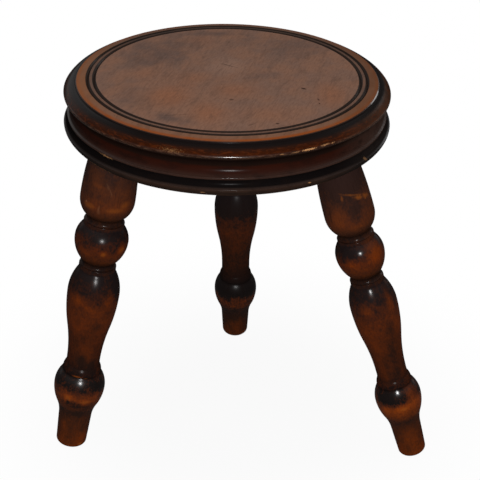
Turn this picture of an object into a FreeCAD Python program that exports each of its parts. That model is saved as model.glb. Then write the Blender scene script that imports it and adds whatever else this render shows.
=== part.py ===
import FreeCAD, Part
import math
import os

import Sketcher

# A child's three-legged stool: a round turned seat with a moulded edge, standing on three turned legs
# whose plain tenons are held in blind sockets bored up into the underside of the seat.
# The frame has +Z up and its origin on the floor, at the middle of the box that the stool fills.
# The front is towards -Y: the left and right legs stand in front, the third one behind.

doc = FreeCAD.newDocument("ChildStool")
sheet = doc.addObject("Spreadsheet::Sheet", "Sizes")

# Lengths are in millimetres and angles in degrees.
driving_sizes = {
    # Seat as a whole, and its flat table with two incised rings
    "seat_height": 328.5,
    "seat_radius": 127.6,
    "table_set_in": 10.4,
    "table_edge_ease": 0.8,
    "ring_set_in": 9.3,
    "ring_spacing": 5.0,
    "ring_width": 2.4,
    "ring_depth": 1.2,
    # Seat edge, from the table down: step, ovolo, nosing, cove, lip, hollow, base
    "step_height": 2.4,
    "step_ledge": 1.7,
    "step_depth": 0.5,
    "ovolo_height": 6.0,
    "ovolo_swell": 0.9,
    "nosing_set_in": 0.9,
    "nosing_height": 0.9,
    "nosing_return": 1.5,
    "nosing_return_height": 2.0,
    "cove_height": 14.1,
    "cove_depth": 4.8,
    "lip_set_in": 3.1,
    "lip_height": 1.4,
    "hollow_top_set_in": 3.7,
    "hollow_height": 6.5,
    "hollow_depth": 1.3,
    "base_height": 6.0,
    "underside_set_in": 4.0,
    # Joints between the legs and the seat
    "socket_set_in": 37.1,
    "socket_depth": 24.0,
    "tenon_radius": 12.5,
    "tenon_fit": 0.1,
    "tenon_show": 3.0,
    # Turned members of a leg, from the seat down
    "vase_top_radius": 17.2,
    "vase_top_height": 7.0,
    "vase_radius": 20.8,
    "vase_foot_radius": 14.4,
    "vase_foot_height": 14.3,
    "upper_neck_depth": 1.4,
    "upper_neck_height": 5.2,
    "upper_ring_radius": 15.6,
    "upper_ring_height": 3.4,
    "ball_top_radius": 15.1,
    "ball_radius": 20.6,
    "ball_upper_height": 13.2,
    "ball_lower_height": 19.0,
    "lower_neck_rim_radius": 13.4,
    "lower_neck_depth": 1.4,
    "lower_neck_height": 4.8,
    "lower_ring_radius": 14.4,
    "lower_ring_height": 4.0,
    "baluster_top_radius": 13.9,
    "baluster_radius": 20.35,
    "baluster_rise": 22.6,
    "baluster_turn_share": 0.48,
    "waist_radius": 13.3,
    "bead_radius": 15.5,
    "bead_height": 6.7,
    "bead_swell": 0.6,
    "quirk_depth": 0.5,
    "quirk_height": 0.5,
    "bulb_radius": 20.5,
    "bulb_rise": 15.1,
    "bulb_fall": 33.0,
    "bulb_fall_turn_share": 0.5,
    "ankle_radius": 13.4,
    "foot_radius": 12.4,
    "foot_round": 3.0,
    # Each leg was turned and bored by eye, so each one stands a little differently.
    # The place is the socket's direction from the seat's axis, the sightline is the direction in which
    # the leg leans, and the rake is its angle from upright along that sightline. The vase height is the
    # long swell from the leg's shoulder to its widest part, the waist height is the plain length above the
    # bead, the foot height is the length below the bulb, and the girth is its stoutness beside the pattern;
    # the baluster's long taper takes up the rest of the length. The end of the leg is square to it and worn
    # level on its inner side: the rest share is the share of the foot's radius at which the level part begins.
    "left_place_angle": -158.5,
    "left_sightline_angle": -169.1,
    "left_rake_angle": 9.9,
    "left_vase_height": 41.9,
    "left_waist_height": 3.3,
    "left_foot_height": 28.2,
    "left_rest_share": 0.6,
    "left_girth_share": 1.048,
    "right_place_angle": -28.0,
    "right_sightline_angle": -4.8,
    "right_rake_angle": 16.7,
    "right_vase_height": 49.2,
    "right_waist_height": 5.7,
    "right_foot_height": 27.5,
    "right_rest_share": 0.2,
    "right_girth_share": 0.959,
    "back_place_angle": 84.6,
    "back_sightline_angle": 87.1,
    "back_rake_angle": 8.3,
    "back_vase_height": 40.9,
    "back_waist_height": 9.1,
    "back_foot_height": 22.7,
    "back_rest_share": 0.4,
    "back_girth_share": 0.989,
    # Length by which a cut runs past the wood that it takes away
    "cut_overrun": 30.0,
}
for row, (alias, value) in enumerate(driving_sizes.items(), start=1):
    sheet.set(f"A{row}", alias.replace("_", " "))
    sheet.set(f"B{row}", str(value))
    sheet.setAlias(f"B{row}", alias)
doc.recompute()


def size(alias):
    """Expression for one driving size."""
    return f"Sizes.{alias}"


def total(*expressions):
    """Expression for a sum."""
    return "(" + " + ".join(expressions) + ")"


def product(*expressions):
    """Expression for a product."""
    return "(" + " * ".join(expressions) + ")"


def less(first, second):
    """Expression for a difference."""
    return f"({first} - {second})"


def between(start, end, share):
    """Expression for the value that lies a share of the way from start to end."""
    return total(start, product(less(end, start), share))


def angle(expression):
    """Expression for a plain number taken as degrees."""
    return f"({expression} * 1 deg)"


def value_of(expression):
    """Present value of an expression."""
    return float(sheet.evalExpression(expression))


def origin_plane(body, role):
    """Plane of a body's own origin."""
    return [feature for feature in body.Origin.OriginFeatures if feature.Role == role][0]


class TurnedOutline:
    """Closed outline in a sketch, radius across and height up, which is turned about the sketch's Y axis.

    Each corner is a pair of expressions. A stretch is straight, or a hollow or a swell of some depth, or an
    arc whose centre is level with its start or its end, so that the turned surface runs parallel to the axis.
    """

    def __init__(self, sketch, start):
        self.sketch = sketch
        self.start = start
        self.corner = start
        self.first_end = None
        self.open_end = None

    def point(self, corner):
        radius, height = corner
        return FreeCAD.Vector(value_of(radius), value_of(height), 0)

    def fix(self, geometry, end, corner):
        """Bind one corner's radius and height to their expressions."""
        for name, axis, expression in (("DistanceX", -2, corner[0]), ("DistanceY", -1, corner[1])):
            if expression == "0":
                self.sketch.addConstraint(Sketcher.Constraint("PointOnObject", geometry, end, axis))
            else:
                number = value_of(expression)
                index = self.sketch.addConstraint(
                    Sketcher.Constraint(name, -1, 1, geometry, end, number))
                self.sketch.setExpression(f"Constraints[{index}]", expression)

    def join(self, geometry, start_end, far_end, corner):
        """Join a new stretch to the last one and fix its far corner."""
        if self.open_end is None:
            self.first_end = (geometry, start_end)
            self.fix(geometry, start_end, self.start)
        else:
            self.sketch.addConstraint(Sketcher.Constraint("Coincident", *self.open_end, geometry, start_end))
        if corner == self.start:
            self.sketch.addConstraint(Sketcher.Constraint("Coincident", geometry, far_end, *self.first_end))
        else:
            self.fix(geometry, far_end, corner)
        self.open_end = (geometry, far_end)
        self.corner = corner

    def line(self, radius, height):
        """Straight stretch to a corner."""
        corner = (radius, height)
        edge = Part.LineSegment(self.point(self.corner), self.point(corner))
        self.join(self.sketch.addGeometry(edge, False), 1, 2, corner)

    def arc(self, radius, height, level_with):
        """Arc to a corner, with its centre level with its start or its end."""
        corner = (radius, height)
        start = self.point(self.corner)
        end = self.point(corner)
        level = start if level_with == "start" else end
        other = end if level_with == "start" else start
        rise = other.y - level.y
        centre_x = (other.x ** 2 + rise ** 2 - level.x ** 2) / (2 * (other.x - level.x))
        centre = FreeCAD.Vector(centre_x, level.y, 0)
        circle = Part.Circle(centre, FreeCAD.Vector(0, 0, 1), abs(level.x - centre_x))
        start_angle = math.atan2(start.y - centre.y, start.x - centre.x)
        end_angle = math.atan2(end.y - centre.y, end.x - centre.x)
        anticlockwise = (start - centre).cross(end - centre).z > 0
        angles = (start_angle, end_angle) if anticlockwise else (end_angle, start_angle)
        ends = (1, 2) if anticlockwise else (2, 1)
        geometry = self.sketch.addGeometry(Part.ArcOfCircle(circle, *angles), False)
        self.join(geometry, *ends, corner)
        level_end = ends[0] if level_with == "start" else ends[1]
        self.sketch.addConstraint(Sketcher.Constraint("Horizontal", geometry, 3, geometry, level_end))

    def bow(self, corner, depth, middle_of):
        """Arc to a corner whose middle stands off the straight line by a depth, into the wood or out of it."""
        chord_squared = f"(({corner[0]} - {self.corner[0]}) ^ 2 + ({corner[1]} - {self.corner[1]}) ^ 2)"
        arc_radius = f"({chord_squared} / 8 / {depth} + {depth} / 2)"
        start = self.point(self.corner)
        end = self.point(corner)
        chord = end - start
        outward = FreeCAD.Vector(chord.y, -chord.x, 0).normalize() * value_of(depth)
        straight_middle = (start + end) / 2
        if middle_of == "hollow":
            points = (end, straight_middle - outward, start)
            ends = (2, 1)
        else:
            points = (start, straight_middle + outward, end)
            ends = (1, 2)
        geometry = self.sketch.addGeometry(Part.Arc(*points), False)
        self.join(geometry, *ends, corner)
        index = self.sketch.addConstraint(Sketcher.Constraint("Radius", geometry, value_of(arc_radius)))
        self.sketch.setExpression(f"Constraints[{index}]", arc_radius)

    def hollow(self, radius, height, depth):
        """Arc to a corner that dips into the wood."""
        self.bow((radius, height), depth, "hollow")

    def swell(self, radius, height, depth):
        """Arc to a corner that stands out from the wood."""
        self.bow((radius, height), depth, "swell")

    def ogee(self, radius, height, turn_share):
        """Double curve to a corner: two arcs that meet smoothly a share of the way along."""
        start_radius, start_height = self.corner
        middle_radius = between(start_radius, radius, turn_share)
        middle_height = between(start_height, height, turn_share)
        self.arc(middle_radius, middle_height, level_with="start")
        self.arc(radius, height, level_with="end")

    def close(self):
        """Straight stretch back to the first corner."""
        self.line(*self.start)


def turned_body(name, start):
    """Body with an outline sketch that stands on its XZ plane."""
    body = doc.addObject("PartDesign::Body", name)
    body.Label = name
    sketch = body.newObject("Sketcher::SketchObject", f"{name}_outline")
    sketch.AttachmentSupport = [(origin_plane(body, "XZ_Plane"), "")]
    sketch.MapMode = "FlatFace"
    doc.recompute()
    return body, TurnedOutline(sketch, start)


def turn(body, sketch):
    """Full turn of an outline about the sketch's vertical axis."""
    turned = body.newObject("PartDesign::Revolution", f"{body.Name}_turned")
    turned.Profile = sketch
    turned.ReferenceAxis = (sketch, ["V_Axis"])
    turned.Angle = 360
    doc.recompute()
    return turned


def cut_round(body, name, place, radius, length=None):
    """Round cut from a placed circle along that placement's Z axis; without a length it runs right through."""
    volume_before = body.Shape.Volume
    sketch = body.newObject("Sketcher::SketchObject", f"{name}_circle")
    sketch.AttachmentSupport = [(origin_plane(body, "XY_Plane"), "")]
    sketch.MapMode = "FlatFace"
    sketch.setExpression("AttachmentOffset", place)
    circle = Part.Circle(FreeCAD.Vector(), FreeCAD.Vector(0, 0, 1), value_of(radius))
    geometry = sketch.addGeometry(circle, False)
    sketch.addConstraint(Sketcher.Constraint("Coincident", geometry, 3, -1, 1))
    index = sketch.addConstraint(Sketcher.Constraint("Radius", geometry, value_of(radius)))
    sketch.setExpression(f"Constraints[{index}]", radius)
    doc.recompute()
    pocket = body.newObject("PartDesign::Pocket", name)
    pocket.Profile = sketch
    pocket.Reversed = True
    if length is None:
        pocket.Type = "ThroughAll"
    else:
        pocket.setExpression("Length", length)
    doc.recompute()
    if body.Shape.Volume >= volume_before:
        raise RuntimeError(f"{name} cuts nothing")
    return pocket


def placement(point, yaw, pitch):
    """Expression for a placement at a point, turned about Y by the pitch and then about Z by the yaw."""
    return f"placement(vector({point[0]}; {point[1]}; {point[2]}); rotation({yaw}; {pitch}; 0 deg))"


# Heights on the seat's edge are counted up from its underside.
base_top = size("base_height")
hollow_top = total(base_top, size("hollow_height"))
lip_top = total(hollow_top, size("lip_height"))
cove_top = total(lip_top, size("cove_height"))
nosing_bottom = total(cove_top, size("nosing_return_height"))
nosing_top = total(nosing_bottom, size("nosing_height"))
ledge_height = total(nosing_top, size("ovolo_height"))
table_height = total(ledge_height, size("step_height"))
seat_bottom = less(size("seat_height"), table_height)


def seat_radius_less(set_in):
    """Expression for a radius on the seat that is set in from its widest part."""
    return less(size("seat_radius"), size(set_in))


table_radius = seat_radius_less("table_set_in")
outer_ring_radius = less(table_radius, size("ring_set_in"))
inner_ring_radius = less(outer_ring_radius, size("ring_spacing"))
socket_circle_radius = seat_radius_less("socket_set_in")


class Leg:
    """Expressions for the place and length of one leg, in the seat's own frame with the underside at zero."""

    def __init__(self, side):
        self.side = side
        self.place = angle(size(f"{side}_place_angle"))
        self.sightline = angle(size(f"{side}_sightline_angle"))
        self.rake = angle(size(f"{side}_rake_angle"))
        self.girth = size(f"{side}_girth_share")
        self.vase_height = size(f"{side}_vase_height")
        self.waist_height = size(f"{side}_waist_height")
        self.lean = (
            product(f"sin({self.rake})", f"cos({self.sightline})"),
            product(f"sin({self.rake})", f"sin({self.sightline})"),
        )
        self.length_below_seat = f"({seat_bottom} / cos({self.rake}))"
        self.length = total(size("socket_depth"), self.length_below_seat)
        self.socket_mouth = (
            product(socket_circle_radius, f"cos({self.place})"),
            product(socket_circle_radius, f"sin({self.place})"),
        )
        self.socket_end = (
            less(self.socket_mouth[0], product(size("socket_depth"), self.lean[0])),
            less(self.socket_mouth[1], product(size("socket_depth"), self.lean[1])),
            product(size("socket_depth"), f"cos({self.rake})"),
        )
        self.foot = (
            total(self.socket_mouth[0], product(self.length_below_seat, self.lean[0])),
            total(self.socket_mouth[1], product(self.length_below_seat, self.lean[1])),
        )
        self.pitch = less("180 deg", self.rake)
        self.end_lift = product(self.radius("foot_radius"), f"tan({self.rake})", size(f"{side}_rest_share"))
        self.end_station = less(self.length, self.end_lift)
        self.below_bulb = total(size("bulb_fall"), size(f"{side}_foot_height"))
        self.bead_and_bulb = total(size("bead_height"), size("quirk_height"), size("bulb_rise"))
        self.below_waist = total(self.waist_height, self.bead_and_bulb, self.below_bulb)

    def reach(self, axis):
        """Distance by which the rounded foot reaches past the floor point of the leg's axis."""
        back_from_floor = product(total(self.end_lift, size("foot_round")), f"abs({self.lean[axis]})")
        return less(product(self.radius("foot_radius"), f"sqrt(1 - {self.lean[axis]} ^ 2)"), back_from_floor)

    def radius(self, alias):
        """Turned radius of this leg, which is a little stouter or slimmer than the pattern."""
        return product(size(alias), self.girth)


legs = {side: Leg(side) for side in ("left", "right", "back")}

# The seat's axis stands beside the origin, because the legs reach further out on one side than on the other.
back_reach = total(legs["back"].foot[1], legs["back"].reach(1))
left_reach = less(legs["left"].foot[0], legs["left"].reach(0))
right_reach = total(legs["right"].foot[0], legs["right"].reach(0))
seat_x = f"(-0.5 * {total(left_reach, right_reach)})"
seat_y = f"(0.5 * {less(size('seat_radius'), back_reach)})"


def make_seat():
    """Seat: turned in one piece, then bored from below for the three tenons."""
    half_ring = f"({size('ring_width')} / 2)"
    ring_bottom = less(table_height, size("ring_depth"))
    ledge_radius = total(table_radius, size("step_ledge"))
    nosing_radius = seat_radius_less("nosing_set_in")
    body, outline = turned_body("seat", ("0", "0"))
    outline.line(seat_radius_less("underside_set_in"), "0")
    outline.arc(size("seat_radius"), base_top, level_with="end")
    outline.hollow(seat_radius_less("hollow_top_set_in"), hollow_top, size("hollow_depth"))
    outline.line(seat_radius_less("lip_set_in"), hollow_top)
    outline.line(seat_radius_less("lip_set_in"), lip_top)
    outline.hollow(less(nosing_radius, size("nosing_return")), cove_top, size("cove_depth"))
    outline.line(nosing_radius, nosing_bottom)
    outline.line(nosing_radius, nosing_top)
    outline.swell(ledge_radius, ledge_height, size("ovolo_swell"))
    outline.hollow(table_radius, less(table_height, size("table_edge_ease")), size("step_depth"))
    outline.line(less(table_radius, size("table_edge_ease")), table_height)
    for ring_radius in (outer_ring_radius, inner_ring_radius):
        outline.line(total(ring_radius, half_ring), table_height)
        outline.line(ring_radius, ring_bottom)
        outline.line(less(ring_radius, half_ring), table_height)
    outline.line("0", table_height)
    outline.close()
    turn(body, outline.sketch)
    for leg in legs.values():
        socket_radius = total(leg.radius("tenon_radius"), size("tenon_fit"))
        socket_place = placement(leg.socket_end, leg.sightline, leg.pitch)
        cut_round(body, f"{leg.side}_socket", socket_place, socket_radius)
    body.setExpression("Placement", placement((seat_x, seat_y, seat_bottom), "0 deg", "0 deg"))
    return body


def make_leg(leg):
    """Leg: turned from the end of its tenon down, cut square and eased at its end, then worn level."""
    body, outline = turned_body(f"{leg.side}_leg", ("0", "0"))
    station = total(size("socket_depth"), size("tenon_show"))
    outline.line(leg.radius("tenon_radius"), "0")
    outline.line(leg.radius("tenon_radius"), station)

    # Vase under the seat, narrow above and full below
    station = total(station, size("vase_top_height"))
    outline.arc(leg.radius("vase_top_radius"), station, level_with="end")
    station = total(station, leg.vase_height)
    outline.arc(leg.radius("vase_radius"), station, level_with="end")
    station = total(station, size("vase_foot_height"))
    outline.arc(leg.radius("vase_foot_radius"), station, level_with="start")

    # Hollow neck and ring, then the ball
    neck_bottom = total(station, size("upper_neck_height"))
    outline.hollow(leg.radius("vase_foot_radius"), neck_bottom, leg.radius("upper_neck_depth"))
    station = total(neck_bottom, size("upper_ring_height"))
    outline.line(leg.radius("upper_ring_radius"), neck_bottom)
    outline.line(leg.radius("upper_ring_radius"), station)
    outline.line(leg.radius("ball_top_radius"), station)
    station = total(station, size("ball_upper_height"))
    outline.arc(leg.radius("ball_radius"), station, level_with="end")
    station = total(station, size("ball_lower_height"))
    outline.arc(leg.radius("lower_neck_rim_radius"), station, level_with="start")

    # Second neck and ring, then the long baluster
    neck_bottom = total(station, size("lower_neck_height"))
    outline.hollow(leg.radius("lower_neck_rim_radius"), neck_bottom, leg.radius("lower_neck_depth"))
    station = total(neck_bottom, size("lower_ring_height"))
    outline.line(leg.radius("lower_ring_radius"), neck_bottom)
    outline.line(leg.radius("lower_ring_radius"), station)
    outline.line(leg.radius("baluster_top_radius"), station)
    station = total(station, size("baluster_rise"))
    outline.arc(leg.radius("baluster_radius"), station, level_with="end")
    station = less(leg.end_station, leg.below_waist)
    outline.ogee(leg.radius("waist_radius"), station, size("baluster_turn_share"))

    # Waist, bead, bulb and foot; the foot runs past the floor until it is cut
    station = total(station, leg.waist_height)
    outline.line(leg.radius("waist_radius"), station)
    station = total(station, size("bead_height"))
    outline.swell(leg.radius("bead_radius"), station, leg.radius("bead_swell"))
    station = total(station, size("quirk_height"))
    outline.line(less(leg.radius("bead_radius"), leg.radius("quirk_depth")), station)
    station = total(station, size("bulb_rise"))
    outline.arc(leg.radius("bulb_radius"), station, level_with="end")
    station = total(station, size("bulb_fall"))
    outline.ogee(leg.radius("ankle_radius"), station, size("bulb_fall_turn_share"))
    outline.line(leg.radius("foot_radius"), leg.end_station)
    station = total(leg.end_station, size("cut_overrun"))
    outline.line(leg.radius("foot_radius"), station)
    outline.line("0", station)
    outline.close()
    turn(body, outline.sketch)

    end_place = placement(("0", "0", leg.end_station), "0 deg", "0 deg")
    floor_place = placement(("0", "0", leg.length), "0 deg", leg.rake)
    trim_radius = total(leg.radius("vase_radius"), leg.radius("vase_radius"))
    trim_length = total(size("cut_overrun"), size("seat_height"))
    end_cut = cut_round(body, f"{leg.side}_end_cut", end_place, trim_radius, trim_length)
    ease_end(body, end_cut, leg)
    cut_round(body, f"{leg.side}_floor_cut", floor_place, trim_radius, trim_length)
    tenon_end = (
        total(seat_x, leg.socket_end[0]),
        total(seat_y, leg.socket_end[1]),
        total(seat_bottom, leg.socket_end[2]),
    )
    body.setExpression("Placement", placement(tenon_end, leg.sightline, leg.pitch))
    return body


def ease_end(body, end_cut, leg):
    """Round on the edge of the leg's square end."""
    station = value_of(leg.end_station)
    end_edges = []
    for number, edge in enumerate(end_cut.Shape.Edges, start=1):
        distances = [abs(point.z - station) for point in edge.discretize(9)]
        if max(distances) < edge.Length * 1e-6:
            end_edges.append(f"Edge{number}")
    fillet = body.newObject("PartDesign::Fillet", f"{leg.side}_end_round")
    fillet.Base = (end_cut, end_edges)
    fillet.setExpression("Radius", size("foot_round"))
    doc.recompute()


pieces = [make_seat()]
for leg in legs.values():
    pieces.append(make_leg(leg))
doc.recompute()

for document_object in doc.Objects:
    if "Invalid" in document_object.State or "Error" in document_object.State:
        raise RuntimeError(f"{document_object.Name} did not build: {document_object.State}")
for piece in pieces:
    if piece.Shape.isNull() or not piece.Shape.isValid() or len(piece.Shape.Solids) != 1:
        raise RuntimeError(f"{piece.Label} is not one sound solid")

os.makedirs("parts", exist_ok=True)
for piece in pieces:
    piece.Shape.exportStep(f"parts/{piece.Label}.step")
    box = piece.Shape.BoundBox
    print(f"{piece.Label}: volume {piece.Shape.Volume:.0f}, "
          f"x {box.XMin:.1f} to {box.XMax:.1f}, y {box.YMin:.1f} to {box.YMax:.1f}, "
          f"z {box.ZMin:.2f} to {box.ZMax:.2f}")
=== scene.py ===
import functools
import math

import bmesh
import bpy
from mathutils import Euler, Matrix, Vector


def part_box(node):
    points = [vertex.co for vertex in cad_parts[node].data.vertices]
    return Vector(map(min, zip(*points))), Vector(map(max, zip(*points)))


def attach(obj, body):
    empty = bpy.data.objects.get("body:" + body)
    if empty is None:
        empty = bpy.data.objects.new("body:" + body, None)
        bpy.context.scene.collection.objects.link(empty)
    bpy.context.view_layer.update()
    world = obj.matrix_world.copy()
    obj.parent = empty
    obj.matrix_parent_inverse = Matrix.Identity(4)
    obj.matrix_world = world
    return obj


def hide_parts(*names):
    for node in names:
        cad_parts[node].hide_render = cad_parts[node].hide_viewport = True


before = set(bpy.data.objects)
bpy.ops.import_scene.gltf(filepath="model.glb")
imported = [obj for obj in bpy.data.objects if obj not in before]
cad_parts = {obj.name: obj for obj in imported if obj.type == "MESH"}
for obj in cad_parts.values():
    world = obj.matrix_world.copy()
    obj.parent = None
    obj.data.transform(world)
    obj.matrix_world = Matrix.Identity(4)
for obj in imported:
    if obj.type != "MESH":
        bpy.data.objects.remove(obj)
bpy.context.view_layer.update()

# A child's three-legged stool of dark polished wood. Its sizes are written in millimetres, as in the part's source.
MM = 0.001
seat_low, seat_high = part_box("seat")
seat_centre = (seat_low + seat_high) / 2
seat_foot = Vector((seat_centre.x, seat_centre.y, seat_low.z))
seat_top = Vector((seat_centre.x, seat_centre.y, seat_high.z))

# Seat: radius and height of the corners of its worn edge, from the underside up
UNDERSIDE_EDGE = (123.6, 0.0)
BASE_TOP = (127.6, 6.0)
HOLLOW_TOP = (123.9, 12.5)
LIP_BOTTOM = (124.5, 12.5)
LIP_TOP = (124.5, 13.9)
COVE_TOP = (125.2, 28.0)
NOSING_BOTTOM = (126.2, 29.34)
NOSING_TOP = (126.2, 31.5)
OVOLO_TOP = (118.9, 36.9)
STEP_TOP = (117.3, 37.9)
RIM_EDGE = (116.2, 38.5)
HOLLOW_DEPTH = 1.3
COVE_DEPTH = 4.8
NOSING_SWELL = 0.34
OVOLO_SWELL = 0.75
STEP_DEPTH = 0.4
SEAT_ARRIS = 0.35

# Flat table of the seat, with two incised rings
TABLE_HEIGHT = 39.3
OUTER_RING = 107.9
INNER_RING = 102.9
RING_HALF_WIDTH = 1.2
RING_DEPTH = 1.2

# Joints between the legs and the seat
SOCKET_CIRCLE = 90.5
SOCKET_DEPTH = 24.0
TENON_RADIUS = 12.5
TENON_FIT = 0.1
TENON_SHOW = 3.0

# Turned members of a leg, from the seat down; the radii and depths are those of a leg whose girth is 1
VASE_TOP_RADIUS = 17.2
VASE_TOP_HEIGHT = 7.0
VASE_RADIUS = 20.8
VASE_FOOT_RADIUS = 14.4
VASE_FOOT_HEIGHT = 14.3
NECK_DEPTH = 1.4
UPPER_NECK_HEIGHT = 5.2
UPPER_RING_RADIUS = 15.6
UPPER_RING_HEIGHT = 3.4
BALL_TOP_RADIUS = 15.1
BALL_RADIUS = 20.6
BALL_UPPER_HEIGHT = 13.2
BALL_LOWER_HEIGHT = 19.0
LOWER_NECK_RADIUS = 13.4
LOWER_NECK_HEIGHT = 4.8
LOWER_RING_RADIUS = 14.4
LOWER_RING_HEIGHT = 4.0
BALUSTER_TOP_RADIUS = 13.9
BALUSTER_RADIUS = 20.35
BALUSTER_RISE = 22.6
BALUSTER_TURN_SHARE = 0.48
WAIST_RADIUS = 13.3
BEAD_RADIUS = 15.5
BEAD_HEIGHT = 6.7
BEAD_SWELL = 0.6
QUIRK_DEPTH = 0.5
QUIRK_HEIGHT = 0.5
BULB_RADIUS = 20.5
BULB_RISE = 15.1
BULB_FALL = 33.0
BULB_TURN_SHARE = 0.5
ANKLE_RADIUS = 13.4
FOOT_RADIUS = 12.4
FOOT_ROUND = 3.0
LEG_ARRIS = 0.5

# Fineness of the meshes: steps round the axis, the angle past which an edge is shaded sharp, and the distance
# in metres within which points are one
SEAT_STEPS = 512
LEG_STEPS = 128
SOCKET_STEPS = 72
SHARP_ANGLE = math.radians(40)
MERGE_DISTANCE = 1e-7

# Radii at which the edge of the seat and the legs are laid out flat, for the places of their marks
SEAT_ROLL_RADIUS = 127.0
LEG_ROLL_RADIUS = 18.0

# Camera and studio, in metres and degrees
eye = seat_top + Vector((0, -0.8662, 0.3585))
CAMERA_YAW = -0.80
CAMERA_TILT_DOWN = 30.29
CAMERA_ROLL = 1.14
FLOOR_CENTRE = Vector((0, 0.74, 0))
FLOOR_RADIUS = 0.9
FLOOR_STEPS = 96
STOOL_MIDDLE = Vector((0, 0, 0.2))


class LegPlan:
    """Where one leg stands, and the stations of its turned members, counted down from the end of its tenon.

    The place is the direction of its socket from the seat's axis, the sightline the direction in which it leans,
    and the rake its angle from upright. The rest is the share of the foot's radius at which its end is worn level,
    and the girth is its stoutness beside the pattern.
    """

    def __init__(self, place, sightline, rake, vase_height, waist_height, foot_height, rest, girth):
        self.girth = girth
        rake = math.radians(rake)
        place = math.radians(place)
        self.turn = Euler((0, math.pi - rake, math.radians(sightline)))
        self.axis = self.turn.to_matrix() @ Vector((0, 0, 1))
        socket_mouth = seat_foot + Vector((math.cos(place), math.sin(place), 0)) * (SOCKET_CIRCLE * MM)
        self.tenon_end = socket_mouth - self.axis * (SOCKET_DEPTH * MM)
        self.placement = Matrix.Translation(self.tenon_end) @ self.turn.to_matrix().to_4x4()
        floor = -self.tenon_end.z / self.axis.z / MM

        # Down from the seat
        self.shoulder = SOCKET_DEPTH + TENON_SHOW
        self.vase_top = self.shoulder + VASE_TOP_HEIGHT
        self.vase = self.vase_top + vase_height
        self.upper_neck = self.vase + VASE_FOOT_HEIGHT
        self.upper_ring = self.upper_neck + UPPER_NECK_HEIGHT
        self.ball_top = self.upper_ring + UPPER_RING_HEIGHT
        self.ball = self.ball_top + BALL_UPPER_HEIGHT
        self.lower_neck = self.ball + BALL_LOWER_HEIGHT
        self.lower_ring = self.lower_neck + LOWER_NECK_HEIGHT
        self.baluster_top = self.lower_ring + LOWER_RING_HEIGHT
        self.baluster = self.baluster_top + BALUSTER_RISE

        # Up from the floor
        self.end = floor - FOOT_RADIUS * girth * math.tan(rake) * rest
        self.ankle = self.end - foot_height
        self.bulb = self.ankle - BULB_FALL
        self.quirk = self.bulb - BULB_RISE - QUIRK_HEIGHT
        self.bead = self.quirk - BEAD_HEIGHT
        self.waist = self.bead - waist_height

        # Side of the leg that the photograph shows, in degrees round its own axis
        middle = self.placement @ Vector((0, 0, self.baluster * MM))
        sight = self.turn.to_matrix().transposed() @ (eye - middle)
        self.front = math.degrees(math.atan2(sight.y, sight.x))


leg_plans = {
    "left": LegPlan(
        place=-158.5, sightline=-169.1, rake=9.9, vase_height=41.9, waist_height=3.3, foot_height=28.2,
        rest=0.6, girth=1.048),
    "right": LegPlan(
        place=-28.0, sightline=-4.8, rake=16.7, vase_height=49.2, waist_height=5.7, foot_height=27.5,
        rest=0.2, girth=0.959),
    "back": LegPlan(
        place=84.6, sightline=87.1, rake=8.3, vase_height=40.9, waist_height=9.1, foot_height=22.7,
        rest=0.4, girth=0.989),
}


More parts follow.
